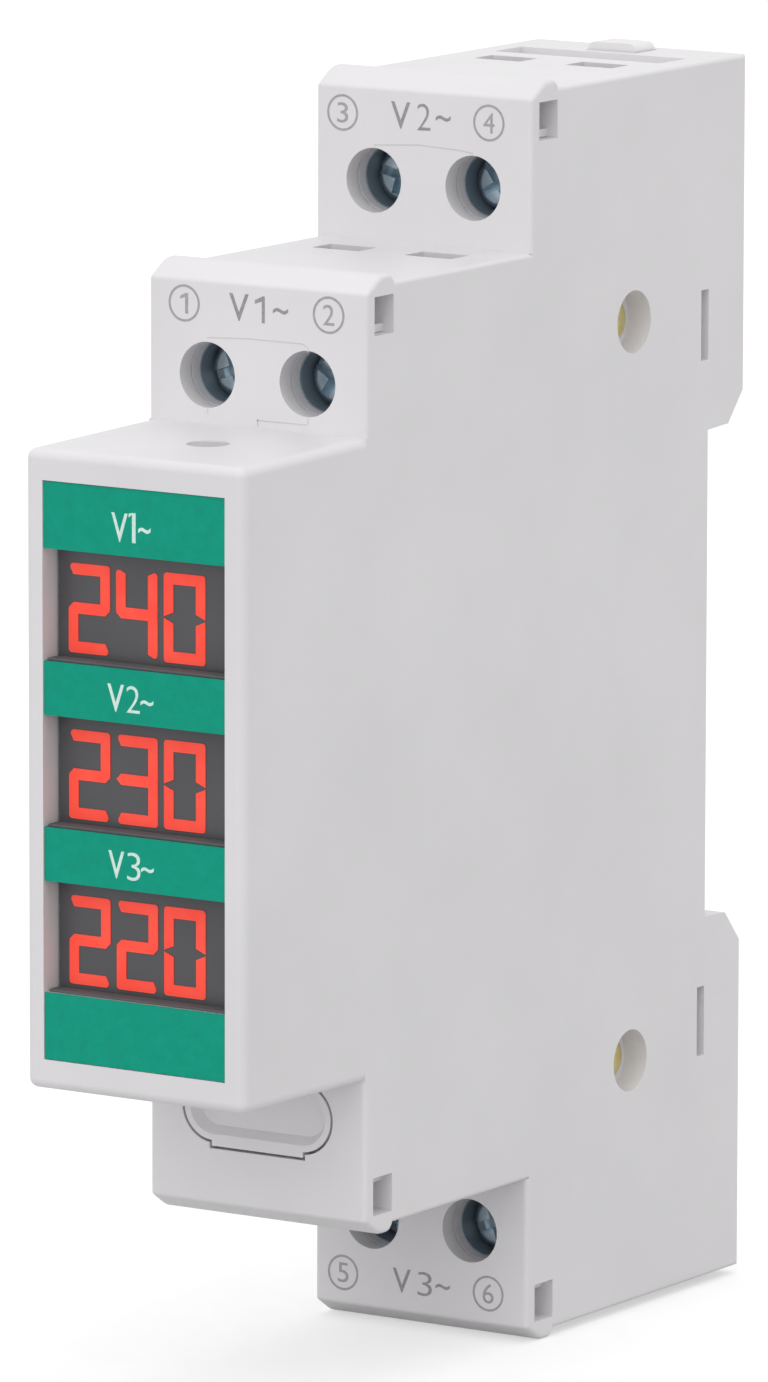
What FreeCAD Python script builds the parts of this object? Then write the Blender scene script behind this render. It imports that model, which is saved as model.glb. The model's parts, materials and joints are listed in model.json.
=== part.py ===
import FreeCAD, Part
import os

from FreeCAD import Vector

# Three-phase voltmeter in a one-module case that snaps on a 35 mm rail.
# Millimetres. X is the width, +Y points from the front to the rail, +Z is up.
# The origin is the centre of the rail seat: mid-width, mid-height, on the floor of the rail notch.

# Case outline
WIDTH = 18.0
FRONT_TO_SEAT = 60.0
CLAW_DEPTH = 5.0
NOSE_HALF = 22.5
NOSE_DRAFT = 0.25
FRONT_TIER_STEP = 15.2
TIER_DEPTH = 21.0
FRONT_TIER_RISE = 10.5
REAR_TIER_EXTRA = 0.9
WALL = 1.5
TOP_WALL = 1.6
EDGE_ROUND = 0.3

# Rail notch, its claws and the fixed hook of the lower claw
RAIL_HEIGHT = 35.0
RAIL_PLAY = 0.5
CLAW_BEVEL_Y = 2.2
CLAW_BEVEL_Z = 2.5
CLAW_LEAN = 0.15
RAIL_FLANGE = 1.0
HOOK_FROM_SIDE = 3.0
HOOK_REACH = 1.15
HOOK_GAP = 0.2
HOOK_DEPTH = 0.8

# Terminal caps, one over the front of each tier
CAP_DEPTH = 3.4
CAP_WALL = 1.4
CAP_SIDE = 1.2
CAP_CEILING = 0.5
CAP_LIP = 0.6
CAP_BEVEL_Y = 1.8
CAP_BEVEL_Z = 1.15
CAP_ROUND = 0.35
CREST_ROUND = 2.0
CAP_HEEL = 0.5
WINDOW_INSET = 1.0
WINDOW_HEIGHT = 2.7
WINDOW_EDGE = 0.85
NUB_DEPTH = 0.9
NUB_HEIGHT = 0.6
POCKET_DEPTH = 2.3
POCKET_WALL = 0.5
FIT = 0.05

# Terminals: distances behind the face of their tier, and places on it
TERMINAL_OFF_CENTRE = 0.05
HOLE_RADIUS = 2.3
HOLE_ABOVE_STEP = 1.1
WELL_RELIEF = 0.3
WELL_RELIEF_DEPTH = 0.2
COLLAR_END = 2.5
GUARD_WALL = 0.7
GUARD_LIP = 0.1
SCREW_INSET = 3.4
HEAD_LENGTH = 2.0
HEAD_CLEARANCE = 0.3
HEAD_ROUND = 0.6
SHANK_RADIUS = 1.5
SHELF = 1.0
SHELF_CLEARANCE = 0.2
THREAD_CLEARANCE = 0.05
DRIVE_WIDTH = 0.7
DRIVE_LENGTH = 2.8
DRIVE_DEPTH = 1.0
SLOT_DEPTH = 0.7
BAR_INSET = 14.2
BAR_THICKNESS = 1.2
BAR_SIDE_GAP = 0.45
BAR_ABOVE = 2.9
BAR_BELOW = 7.7
BAR_FINGER = 2.0
WIRE_GAP = 2.8
WIRE_SLOT_X = 3.85
WIRE_SLOT_WIDTH = 3.9
WIRE_SLOT_INSET = 15.6
WIRE_SLOT_LENGTH = 2.4
CAGE_SIDE_GAP = 0.2
CAGE_HEIGHT = 5.5
CAGE_WALL = 0.8
CAGE_NUT = 2.0
CAGE_BACK = 1.0
CAGE_AHEAD_OF_BAR = 2.8
PARTITION = 1.4

# Display opening in the front bezel
BEZEL_DEPTH = 3.0
BEZEL_ROUND = 0.7
BEZEL_SIDE = 1.5
BEZEL_END = 2.35
DISPLAY_HEIGHT = 7.8
MID_BAND = 3.75
LABEL_THICKNESS = 0.2
LABEL_INSET = 0.1
DISPLAY_INSET = 1.7
DISPLAY_GAP = 0.2
DISPLAY_DEPTH = 6.0
DIGIT_ROOM = 1.07
DIGIT_SPACE = 0.52
DIGIT_MARGIN = 1.6
DIGIT_STROKE = 0.78
DIGITS_X = -0.82
DIGITS_Z = -0.3
DIGIT_RELIEF = 0.06
MIDDLE_BREAK = 0.06
DIGIT_ROUND = 0.25
TONGUE_FROM_SIDE = 4.0
TONGUE_THICKNESS = 0.9
TONGUE_LENGTH = 3.5

# Blanking plug of the lower front cap
PLUG_FROM_SIDE = 2.7
PLUG_HEIGHT = 5.2
PLUG_RAISE = 0.3
PLUG_GAP = 0.2
PLUG_TAB_INSET = 2.3
PLUG_TAB = 0.4
PLUG_RIM = 0.45
PLUG_DISH = 0.8
PLUG_DISH_TAPER = 0.5
PLUG_LEG_INSET = 1.7
PLUG_LEG_THICKNESS = 0.9
PLUG_LEG_HEIGHT = 2.6
PLUG_BARB = 0.35

# Boards and what they carry
BOARD = 1.2
DISPLAY_BOARD = 1.6
BOARD_OVER_FRONT_BAR = 0.4
BOARD_OVER_REAR_BAR = 0.2
BOARD_FRONT = 2.7
BOARD_REAR = 0.3
BOARD_TONGUE_LENGTH = 15.0
POST_RADIUS = 1.5
POST_Z = 13.0
POST_BEHIND_FRONT_TIER = 3.8
POST_BEHIND_REAR_TIER = 2.3
HEADER_HALF_HEIGHT = 10.16
HEADER_WIDTH = 2.5
HEADER_LENGTH = 4.7
CAPACITOR_GAP = 0.7
CAPACITOR_LENGTH = 11.5
CAPACITOR_Y = -30.0
FILM_WIDTH = 5.2
FILM_LENGTH = 7.0
FILM_HEIGHT = 12.5
FILM_Y = -30.0
CHIP_LENGTH = 9.9
CHIP_WIDTH = 3.9
CHIP_THICKNESS = 1.6
CHIP_Y = -14.0
RESISTOR_RADIUS = 1.15
RESISTOR_LENGTH = 6.4
RESISTOR_PITCH = 4.2
RESISTOR_COUNT = 3
RESISTOR_Y = -14.0

# Rivets through the case
RIVET_Y = -10.1
RIVET_BELOW_TONGUE = 5.1
RIVET_RADIUS = 1.0
RIVET_HEAD_RADIUS = 1.5
RIVET_HEAD = 0.4
RECESS_RADIUS = 2.25
RECESS_DEPTH = 1.9
BOSS_RADIUS = 2.6
BOSS_HOLE = 0.3

# Blind slots in the sides, beside the rail
SIDE_SLOT_Y = -0.5
SIDE_SLOT_WIDTH = 1.0
SIDE_SLOT_HEIGHT = 5.1
SIDE_SLOT_DEPTH = 1.2
SIDE_SLOT_DROP = 0.5

# Transverse groove in the top and bottom behind the wire slots
GROOVE_FROM_SIDE = 2.0
GROOVE_FRONT = -3.6
GROOVE_BACK = 0.0
GROOVE_DEPTH = 1.6

# Shallow dimple in the top of the nose
DIMPLE_X = 0.85
DIMPLE_Y = -52.1
DIMPLE_RADIUS = 1.5
DIMPLE_DEPTH = 0.4

# Rail clip in the upper claw, and its spring
CLIP_HALF_WIDTH = 4.0
CLIP_THICKNESS = 2.6
CLIP_SHOULDER = 6.4
CLIP_STEM_HALF = 2.0
CLIP_TIP = 0.6
CLIP_TRAVEL = 2.0
CLIP_PLAY = 0.15
CLIP_TOOTH = 1.1
CLIP_TOOTH_FLAT = 1.0
CLIP_TOOTH_RAMP = 2.2
SPRING_POCKET_HALF = 1.7
SPRING_LENGTH = 8.2
SPRING_RADIUS = 1.0
SPRING_WIRE = 0.15
SPRING_TURNS = 5
STOP_HEIGHT = 2.0
STOP_FROM_SHOULDER = 1.8
STOP_HALF_WIDTH = 1.5
BACK_SLOT_HALF = 2.6

# Places worked out from the sizes above
HALF = WIDTH / 2
NOSE_Y = -FRONT_TO_SEAT
FRONT_TIER_Y = NOSE_Y + FRONT_TIER_STEP
REAR_TIER_Y = FRONT_TIER_Y + TIER_DEPTH
BACK_Y = CLAW_DEPTH
FRONT_TIER_HALF = NOSE_HALF + FRONT_TIER_RISE
REAR_TIER_HALF = FRONT_TIER_HALF + FRONT_TIER_RISE + REAR_TIER_EXTRA
NOTCH_HALF = (RAIL_HEIGHT + RAIL_PLAY) / 2
OPENING_WIDTH = WIDTH - 2 * BEZEL_SIDE
OPENING_HALF = NOSE_HALF - BEZEL_END
DISPLAY_PITCH = DISPLAY_HEIGHT + MID_BAND
DIGIT_PITCH = OPENING_WIDTH / 3 - DIGIT_ROOM
DIGIT_WIDTH = DIGIT_PITCH - DIGIT_SPACE
DIGIT_HEIGHT = DISPLAY_HEIGHT - DIGIT_MARGIN
SCREW_FROM_TOP = FRONT_TIER_RISE - HOLE_RADIUS - HOLE_ABOVE_STEP
FRONT_SCREW_Z = FRONT_TIER_HALF - SCREW_FROM_TOP
REAR_SCREW_Z = REAR_TIER_HALF - SCREW_FROM_TOP
GUARD_RADIUS = HOLE_RADIUS + GUARD_WALL
TERMINAL_X = (PARTITION / 2 + HALF - WALL) / 2 + TERMINAL_OFF_CENTRE
CAGE_WIDTH = HALF - WALL - PARTITION / 2 - 2 * CAGE_SIDE_GAP
BAR_WIDTH = CAGE_WIDTH - 2 * CAGE_WALL - 2 * BAR_SIDE_GAP
WELL_END = SCREW_INSET + HEAD_LENGTH
SHELF_END = WELL_END + SHELF
CAGE_FRONT = BAR_INSET - CAGE_AHEAD_OF_BAR - CAGE_NUT
CAGE_REAR = BAR_INSET + BAR_THICKNESS + WIRE_GAP + CAGE_BACK
DISPLAY_FACE_Y = NOSE_Y + DISPLAY_INSET
DISPLAY_BACK_Y = DISPLAY_FACE_Y + DISPLAY_DEPTH
DISPLAY_BOARD_BACK_Y = DISPLAY_BACK_Y + DISPLAY_BOARD
CLIP_FRONT_Y = RAIL_FLANGE + CLIP_PLAY
CLIP_BACK_Y = CLIP_FRONT_Y + CLIP_THICKNESS
CLIP_TOP = REAR_TIER_HALF - CLIP_SHOULDER
TIP_Z = REAR_TIER_HALF + CLIP_TIP
STOP_BOTTOM = CLIP_TOP - STOP_FROM_SHOULDER - STOP_HEIGHT
SPRING_POCKET_BOTTOM = STOP_BOTTOM - SPRING_LENGTH
NOSE_INSIDE = NOSE_HALF - NOSE_DRAFT - WALL
PLUG_WIDTH = WIDTH - 2 * PLUG_FROM_SIDE
PLUG_TAB_WIDTH = PLUG_WIDTH - 2 * PLUG_TAB_INSET
PLUG_LEG_X = PLUG_WIDTH / 2 - PLUG_LEG_INSET
PLUG_Z = -FRONT_SCREW_Z + PLUG_RAISE
BOARD_TOP = FRONT_SCREW_Z - BAR_BELOW + BAR_FINGER + BOARD_OVER_FRONT_BAR
BOARD_TONGUE = REAR_SCREW_Z - BAR_BELOW + BAR_FINGER + BOARD_OVER_REAR_BAR
CAPACITOR_RADIUS = (HALF - WALL - BOARD / 2 - CAPACITOR_GAP) / 2
RIVET_Z = BOARD_TONGUE - RIVET_BELOW_TONGUE
GROOVE_HALF_WIDTH = HALF - GROOVE_FROM_SIDE

# Each tier: its face, the height of the step below it, its own half height, up or down
TIERS = {
    "v1": (FRONT_TIER_Y, NOSE_HALF, FRONT_TIER_HALF, 1),
    "v2": (REAR_TIER_Y, FRONT_TIER_HALF, REAR_TIER_HALF, 1),
    "v3": (REAR_TIER_Y, FRONT_TIER_HALF, REAR_TIER_HALF, -1),
    "blank": (FRONT_TIER_Y, NOSE_HALF, FRONT_TIER_HALF, -1),
}
TERMINALS = {
    "1": ("v1", -TERMINAL_X),
    "2": ("v1", TERMINAL_X),
    "3": ("v2", -TERMINAL_X),
    "4": ("v2", TERMINAL_X),
    "5": ("v3", -TERMINAL_X),
    "6": ("v3", TERMINAL_X),
}
READINGS = {"v1": "240", "v2": "230", "v3": "220"}

# How far each screw has been turned, in degrees
DRIVE_ANGLES = {"1": -20, "2": 35, "3": 15, "4": 55, "5": 70, "6": 20}


def block(x0, x1, y0, y1, z0, z1):
    """A box between two corners."""
    return Part.makeBox(x1 - x0, y1 - y0, z1 - z0, Vector(x0, y0, z0))


def rod_x(y, z, radius, x0, x1):
    return Part.makeCylinder(radius, x1 - x0, Vector(x0, y, z), Vector(1, 0, 0))


def rod_y(x, z, radius, y0, y1):
    return Part.makeCylinder(radius, y1 - y0, Vector(x, y0, z), Vector(0, 1, 0))


def side_prism(points, x0, x1):
    """A side view outline of (y, z) points, swept across the width."""
    corners = [Vector(x0, y, z) for y, z in points]
    face = Part.Face(Part.makePolygon(corners + corners[:1]))
    return face.extrude(Vector(x1 - x0, 0, 0))


def front_prism(points, y0, y1):
    """A front view outline of (x, z) points, swept backwards."""
    corners = [Vector(x, y0, z) for x, z in points]
    face = Part.Face(Part.makePolygon(corners + corners[:1]))
    return face.extrude(Vector(0, y1 - y0, 0))


def top_prism(points, z0, z1):
    """A top view outline of (x, y) points, swept upwards."""
    corners = [Vector(x, y, z0) for x, y in points]
    face = Part.Face(Part.makePolygon(corners + corners[:1]))
    return face.extrude(Vector(0, 0, z1 - z0))


def flip(shape, side):
    """The shape itself for the upper side, its mirror image for the lower side."""
    if side > 0:
        return shape
    return shape.mirror(Vector(0, 0, 0), Vector(0, 0, 1))


def fuse(shapes):
    return shapes[0].multiFuse(shapes[1:]).removeSplitter()


def nose_half_at(y):
    """Half the height of the nose, which narrows a little towards its face."""
    return NOSE_HALF - NOSE_DRAFT * (FRONT_TIER_Y - y) / FRONT_TIER_STEP


def obround(width, height, z, y0, y1):
    """A slot-shaped prism across the width, with round ends."""
    reach = (width - height) / 2
    middle = block(-reach, reach, y0, y1, z - height / 2, z + height / 2)
    ends = [rod_y(x, z, height / 2, y0, y1) for x in (-reach, reach)]
    return fuse([middle] + ends)


# The case

def outline():
    """The side view of the two shells behind the nose, without caps, all the way round."""
    upper = [
        (FRONT_TIER_Y, NOSE_HALF),
        (FRONT_TIER_Y + CAP_DEPTH, NOSE_HALF),
        (FRONT_TIER_Y + CAP_DEPTH, FRONT_TIER_HALF),
        (REAR_TIER_Y + CAP_DEPTH, FRONT_TIER_HALF),
        (REAR_TIER_Y + CAP_DEPTH, REAR_TIER_HALF),
        (BACK_Y, REAR_TIER_HALF),
        (BACK_Y, NOTCH_HALF + CLAW_LEAN + CLAW_BEVEL_Z),
        (BACK_Y - CLAW_BEVEL_Y, NOTCH_HALF + CLAW_LEAN),
        (0, NOTCH_HALF),
    ]
    lower = [(y, -z) for y, z in reversed(upper)]
    return upper + lower


def nose():
    """The nose behind its bezel, with its long edges rounded like the bezel's."""
    front = NOSE_Y + BEZEL_DEPTH
    points = [
        (front, nose_half_at(front)),
        (FRONT_TIER_Y, NOSE_HALF),
        (FRONT_TIER_Y, -NOSE_HALF),
        (front, -nose_half_at(front)),
    ]
    solid = side_prism(points, -HALF, HALF)
    edges = [edge for edge in solid.Edges if edge.BoundBox.YLength > FIT]
    return solid.makeFillet(BEZEL_ROUND, edges)


def cavity_outline():
    """The side view of the space inside the shells."""
    front_bay = FRONT_TIER_Y + SHELF_END
    rear_bay = REAR_TIER_Y + SHELF_END
    bay_end = GROOVE_FRONT - WALL
    upper = [
        (NOSE_Y, NOSE_INSIDE),
        (front_bay, NOSE_INSIDE),
        (front_bay, FRONT_TIER_HALF - TOP_WALL),
        (rear_bay, FRONT_TIER_HALF - TOP_WALL),
        (rear_bay, REAR_TIER_HALF - TOP_WALL),
        (bay_end, REAR_TIER_HALF - TOP_WALL),
        (bay_end, REAR_TIER_HALF - GROOVE_DEPTH - TOP_WALL),
        (-WALL, REAR_TIER_HALF - GROOVE_DEPTH - TOP_WALL),
    ]
    lower = [(y, -z) for y, z in reversed(upper)]
    return upper + lower


def cap_core(tier):
    """The block of a tier that its cap closes over, with a pocket and a low nub behind each snap window."""
    face, step, half, side = TIERS[tier]
    inside = HALF - CAP_SIDE - FIT
    front = face + CAP_WALL
    back = face + CAP_DEPTH
    top = half - CAP_CEILING - FIT
    window_top = half - WINDOW_EDGE
    window_bottom = window_top - WINDOW_HEIGHT
    floor = HALF - POCKET_DEPTH
    nub = HALF - NUB_DEPTH
    core = block(-inside, inside, front, back, step, top)
    for start in (-inside, floor):
        end = start + inside - floor
        core = core.cut(block(start, end, front + POCKET_WALL, back, window_bottom, window_top))
    for start in (-nub, floor):
        end = start + nub - floor
        core = core.fuse(block(start, end, front, back, window_bottom + FIT, window_bottom + NUB_HEIGHT))
    return flip(core, side)


def screw_cuts(tier):
    """The well for each screw head of a tier with room for its guard ring, and the hole for the shank."""
    face, step, half, side = TIERS[tier]
    z = half - SCREW_FROM_TOP
    cuts = []
    for x in (-TERMINAL_X, TERMINAL_X):
        relief = face + CAP_WALL + WELL_RELIEF_DEPTH
        cuts.append(rod_y(x, z, HOLE_RADIUS, face, face + COLLAR_END))
        cuts.append(rod_y(x, z, HOLE_RADIUS + WELL_RELIEF, face, relief))
        cuts.append(rod_y(x, z, GUARD_RADIUS, face + COLLAR_END, face + WELL_END))
        cuts.append(rod_y(x, z, SHANK_RADIUS + SHELF_CLEARANCE, face, face + SHELF_END))
    return [flip(cut, side) for cut in cuts]


def wire_cuts(tier):
    """The slots where the wires go in, through the top of an upper tier or the floor of the lower one."""
    face, step, half, side = TIERS[tier]
    start = face + WIRE_SLOT_INSET
    cuts = []
    for x in (-WIRE_SLOT_X, WIRE_SLOT_X):
        left = x - WIRE_SLOT_WIDTH / 2
        cuts.append(block(left, left + WIRE_SLOT_WIDTH, start, start + WIRE_SLOT_LENGTH,
                          half - 2 * TOP_WALL, half + TOP_WALL))
    return [flip(cut, side) for cut in cuts]


def plug_leg_cut():
    """The passage in the lower front block for the legs of the blanking plug."""
    reach = PLUG_LEG_X + PLUG_LEG_THICKNESS + PLUG_GAP
    high = PLUG_LEG_HEIGHT / 2 + PLUG_GAP
    return block(-reach, reach, FRONT_TIER_Y, FRONT_TIER_Y + SHELF_END, PLUG_Z - high, PLUG_Z + high)


def clip_cuts():
    """The guide of the rail clip, open to the notch, the back and the top."""
    front = RAIL_FLANGE
    back = CLIP_BACK_Y + CLIP_PLAY
    wide = CLIP_HALF_WIDTH + CLIP_PLAY
    narrow = CLIP_STEM_HALF + CLIP_PLAY
    ceiling = CLIP_TOP + CLIP_TRAVEL + CLIP_PLAY
    notch = NOTCH_HALF - RAIL_PLAY
    return [
        block(-wide, wide, front, back, notch, ceiling),
        block(-narrow, narrow, front, back, ceiling, REAR_TIER_HALF),
        block(-BACK_SLOT_HALF, BACK_SLOT_HALF, back, BACK_Y, notch, CLIP_TOP),
    ]


def clip_stop():
    """The fixed block in the clip's pocket: the spring pushes against it and the clip rests on it."""
    back = CLIP_BACK_Y - CLIP_PLAY
    return block(-STOP_HALF_WIDTH, STOP_HALF_WIDTH, 0, back, STOP_BOTTOM, STOP_BOTTOM + STOP_HEIGHT)


def fixed_hook():
    """The lip on the lower claw that the rail's lower flange goes behind."""
    front = RAIL_FLANGE + HOOK_GAP
    root = -NOTCH_HALF - CLAW_LEAN
    points = [
        (front, root),
        (front, -NOTCH_HALF + HOOK_REACH),
        (front + HOOK_DEPTH, -NOTCH_HALF + HOOK_REACH),
        (BACK_Y - CLAW_BEVEL_Y, root),
    ]
    half = HALF - HOOK_FROM_SIDE
    return side_prism(points, -half, half)


def inner_posts():
    """Rivet bosses that meet at mid-width, and posts that stand against the main board."""
    posts = []
    for side in (1, -1):
        posts.append(rod_x(RIVET_Y, RIVET_Z * side, BOSS_RADIUS, -HALF + WALL, HALF - WALL))
        for y in (FRONT_TIER_Y + POST_BEHIND_FRONT_TIER, REAR_TIER_Y + POST_BEHIND_REAR_TIER):
            posts.append(rod_x(y, POST_Z * side, POST_RADIUS, BOARD / 2, HALF - WALL))
            posts.append(rod_x(y, POST_Z * side, POST_RADIUS, -HALF + WALL, -BOARD / 2))
    return posts


def rivet_cuts():
    """The rivet holes, with a round recess in each side of the case."""
    cuts = []
    for side in (1, -1):
        z = RIVET_Z * side
        cuts.append(rod_x(RIVET_Y, z, RIVET_RADIUS + FIT, -HALF, HALF))
        cuts.append(rod_x(RIVET_Y, z, RECESS_RADIUS, -HALF, -HALF + RECESS_DEPTH))
        cuts.append(rod_x(RIVET_Y, z, RECESS_RADIUS, HALF - RECESS_DEPTH, HALF))
    return cuts


def side_slot_cuts():
    """The narrow blind slots in both sides of the case."""
    y = SIDE_SLOT_Y - SIDE_SLOT_WIDTH / 2
    z = FRONT_SCREW_Z - SIDE_SLOT_DROP - SIDE_SLOT_HEIGHT / 2
    cuts = []
    for x in (-HALF, HALF - SIDE_SLOT_DEPTH):
        slot = block(x, x + SIDE_SLOT_DEPTH, y, y + SIDE_SLOT_WIDTH, z, z + SIDE_SLOT_HEIGHT)
        cuts += [slot, flip(slot, -1)]
    return cuts


def groove_cuts():
    """The grooves across the top and the floor, behind the wire slots."""
    groove = block(-GROOVE_HALF_WIDTH, GROOVE_HALF_WIDTH, GROOVE_FRONT, GROOVE_BACK,
                   REAR_TIER_HALF - GROOVE_DEPTH, REAR_TIER_HALF)
    return [groove, flip(groove, -1)]


def dimple_cut():
    """The shallow round mark in the top of the nose."""
    bottom = nose_half_at(DIMPLE_Y) - DIMPLE_DEPTH
    return Part.makeCylinder(DIMPLE_RADIUS, NOSE_HALF, Vector(DIMPLE_X, DIMPLE_Y, bottom))


def same(a, b):
    return abs(a - b) < 1e-6


def round_long_edges(solid):
    """Takes the sharpness off the edges where the flat sides meet the tops and the back."""
    edges = []
    for edge in solid.Edges:
        box = edge.BoundBox
        on_side = same(box.XMin, box.XMax) and same(abs(box.XMin), HALF)
        level = abs(box.ZMin)
        on_top = same(box.ZMin, box.ZMax) and (same(level, FRONT_TIER_HALF) or same(level, REAR_TIER_HALF))
        on_back = same(box.YMin, box.YMax) and same(box.YMin, BACK_Y)
        if on_side and (on_top or on_back):
            edges.append(edge)
    return solid.makeFillet(EDGE_ROUND, edges)


def case():
    """Both shells in one, before they are parted down the middle."""
    solid = round_long_edges(side_prism(outline(), -HALF, HALF))
    solid = solid.multiFuse([nose()] + [cap_core(tier) for tier in TIERS])
    inside = side_prism(cavity_outline(), -HALF + WALL, HALF - WALL)
    cuts = [inside.cut(Part.makeCompound(inner_posts())), plug_leg_cut(), dimple_cut()]
    for tier in READINGS:
        cuts += screw_cuts(tier) + wire_cuts(tier)
    cuts += clip_cuts() + rivet_cuts() + side_slot_cuts() + groove_cuts()
    for cut in cuts:
        solid = solid.cut(cut)
    return solid.multiFuse([clip_stop(), fixed_hook()]).removeSplitter()


def partitions():
    """Walls between the paired terminals, all moulded on the left shell."""
    walls = []
    for tier in READINGS:
        face, step, half, side = TIERS[tier]
        bottom = BOARD_TOP if half == FRONT_TIER_HALF else BOARD_TONGUE
        end = min(face + CAGE_REAR + CAGE_BACK, GROOVE_FRONT - WALL)
        wall = block(-PARTITION / 2, PARTITION / 2, face + SHELF_END, end, bottom + FIT, half - TOP_WALL)
        walls.append(flip(wall, side))
    return walls


def shells():
    """The left shell, which carries the partitions, and the right shell."""
    whole = case()
    reach = 2 * FRONT_TO_SEAT
    left = whole.common(block(-HALF, 0, -reach, reach, -reach, reach))
    right = whole.common(block(0, HALF, -reach, reach, -reach, reach))
    return {"housing_left": fuse([left] + partitions()), "housing_right": right.removeSplitter()}


# Caps over the tiers

def cap_outline(tier):
    """The side view of a cap: flat face, bevel, proud lip and sloped heel."""
    face, step, half, side = TIERS[tier]
    lip = half + CAP_LIP
    return [
        (face, step),
        (face, lip - CAP_BEVEL_Z),
        (face + CAP_BEVEL_Y, lip),
        (face + CAP_DEPTH - CAP_HEEL, lip),
        (face + CAP_DEPTH, half),
        (face + CAP_DEPTH, step),
    ]


def round_cap(solid, face, lip):
    """Rounds the crest of a cap's lip, then softens its front edges and both its sides."""
    crest = []
    for edge in solid.Edges:
        box = edge.BoundBox
        if same(box.YMin, box.YMax) and same(box.YMin, face + CAP_BEVEL_Y) and same(box.ZMin, lip):
            crest.append(edge)
    solid = solid.makeFillet(CREST_ROUND, crest)
    edges = []
    for edge in solid.Edges:
        box = edge.BoundBox
        on_side = same(box.XMin, box.XMax) and same(abs(box.XMin), HALF)
        level = same(box.YMin, box.YMax) and same(box.ZMin, box.ZMax)
        at_line = level and same(box.ZMin, lip - CAP_BEVEL_Z)
        at_heel = level and same(box.YMin, face + CAP_DEPTH - CAP_HEEL)
        in_front = box.YMax < face + CAP_DEPTH - CAP_HEEL + FIT
        if at_line or at_heel or (on_side and in_front):
            edges.append(edge)
    return solid.makeFillet(CAP_ROUND, edges)


def cap(tier):
    face, step, half, side = TIERS[tier]
    solid = round_cap(side_prism(cap_outline(tier), -HALF, HALF), face, half + CAP_LIP)
    inside = HALF - CAP_SIDE
    cuts = [block(-inside, inside, face + CAP_WALL, face + CAP_DEPTH, step, half - CAP_CEILING)]
    top = half - WINDOW_EDGE
    for x in (-HALF, HALF - CAP_SIDE):
        cuts.append(block(x, x + CAP_SIDE, face + WINDOW_INSET, face + CAP_DEPTH, top - WINDOW_HEIGHT, top))
    if tier in READINGS:
        for x in (-TERMINAL_X, TERMINAL_X):
            cuts.append(rod_y(x, half - SCREW_FROM_TOP, HOLE_RADIUS, face, face + CAP_WALL))
    else:
        cuts.append(flip(plug_opening(), side))
    for cut in cuts:
        solid = solid.cut(cut)
    return flip(solid, side)


def plug_opening():
    """The opening of the lower front cap that the blanking plug fills, with a notch for its tab."""
    y0 = FRONT_TIER_Y
    y1 = FRONT_TIER_Y + CAP_WALL
    bottom = PLUG_Z - PLUG_HEIGHT / 2 - PLUG_TAB
    hole = obround(PLUG_WIDTH, PLUG_HEIGHT, PLUG_Z, y0, y1)
    notch = block(-PLUG_TAB_WIDTH / 2, PLUG_TAB_WIDTH / 2, y0, y1, bottom, PLUG_Z)
    return fuse([hole, notch])


def obround_wire(width, height, z, y):
    """A slot-shaped outline that faces forwards."""
    reach = (width - height) / 2
    radius = height / 2
    top_left = Vector(-reach, y, z + radius)
    top_right = Vector(reach, y, z + radius)
    low_left = Vector(-reach, y, z - radius)
    low_right = Vector(reach, y, z - radius)
    edges = [
        Part.LineSegment(top_left, top_right).toShape(),
        Part.Arc(top_right, Vector(reach + radius, y, z), low_right).toShape(),
        Part.LineSegment(low_right, low_left).toShape(),
        Part.Arc(low_left, Vector(-reach - radius, y, z), top_left).toShape(),
    ]
    return Part.Wire(edges)


def blanking_plug():
    """The plug in the unused terminal opening: a dished obround with a tab and two snap legs."""
    y0 = FRONT_TIER_Y
    y1 = FRONT_TIER_Y + CAP_WALL
    width = PLUG_WIDTH - 2 * PLUG_GAP
    height = PLUG_HEIGHT - 2 * PLUG_GAP
    tab_half = PLUG_TAB_WIDTH / 2 - PLUG_GAP
    tab_bottom = PLUG_Z - PLUG_HEIGHT / 2 - PLUG_TAB + PLUG_GAP
    parts = [obround(width, height, PLUG_Z, y0, y1), block(-tab_half, tab_half, y0, y1, tab_bottom, PLUG_Z)]
    leg_end = FRONT_TIER_Y + SHELF_END + FIT
    leg_low = PLUG_Z - PLUG_LEG_HEIGHT / 2
    for side in (-1, 1):
        inner = side * PLUG_LEG_X
        outer = side * (PLUG_LEG_X + PLUG_LEG_THICKNESS)
        barb = side * (PLUG_LEG_X + PLUG_LEG_THICKNESS + PLUG_GAP + PLUG_BARB)
        points = [
            (inner, y1),
            (outer, y1),
            (outer, leg_end),
            (barb, leg_end),
            (outer, leg_end + PLUG_LEG_THICKNESS),
            (inner, leg_end + PLUG_LEG_THICKNESS),
        ]
        parts.append(top_prism(points, leg_low, leg_low + PLUG_LEG_HEIGHT))
    rim = obround_wire(width - 2 * PLUG_RIM, height - 2 * PLUG_RIM, PLUG_Z, y0)
    floor_shrink = 2 * (PLUG_RIM + PLUG_DISH_TAPER)
    floor = obround_wire(width - floor_shrink, height - floor_shrink, PLUG_Z, y0 + PLUG_DISH)
    dish = Part.makeLoft([rim, floor], True, True)
    return fuse(parts).cut(dish)


# The front of the nose

def display_places():
    """The mid height of each display, from the top one down."""
    return {"v1": DISPLAY_PITCH, "v2": 0.0, "v3": -DISPLAY_PITCH}


def bands():
    """Bottom and top of each green label strip, from the top one down."""
    edge = DISPLAY_HEIGHT / 2
    return {
        "v1": (DISPLAY_PITCH + edge, OPENING_HALF),
        "v2": (edge, DISPLAY_PITCH - edge),
        "v3": (-DISPLAY_PITCH + edge, -edge),
        "blank": (-OPENING_HALF, -DISPLAY_PITCH - edge),
    }


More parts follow.
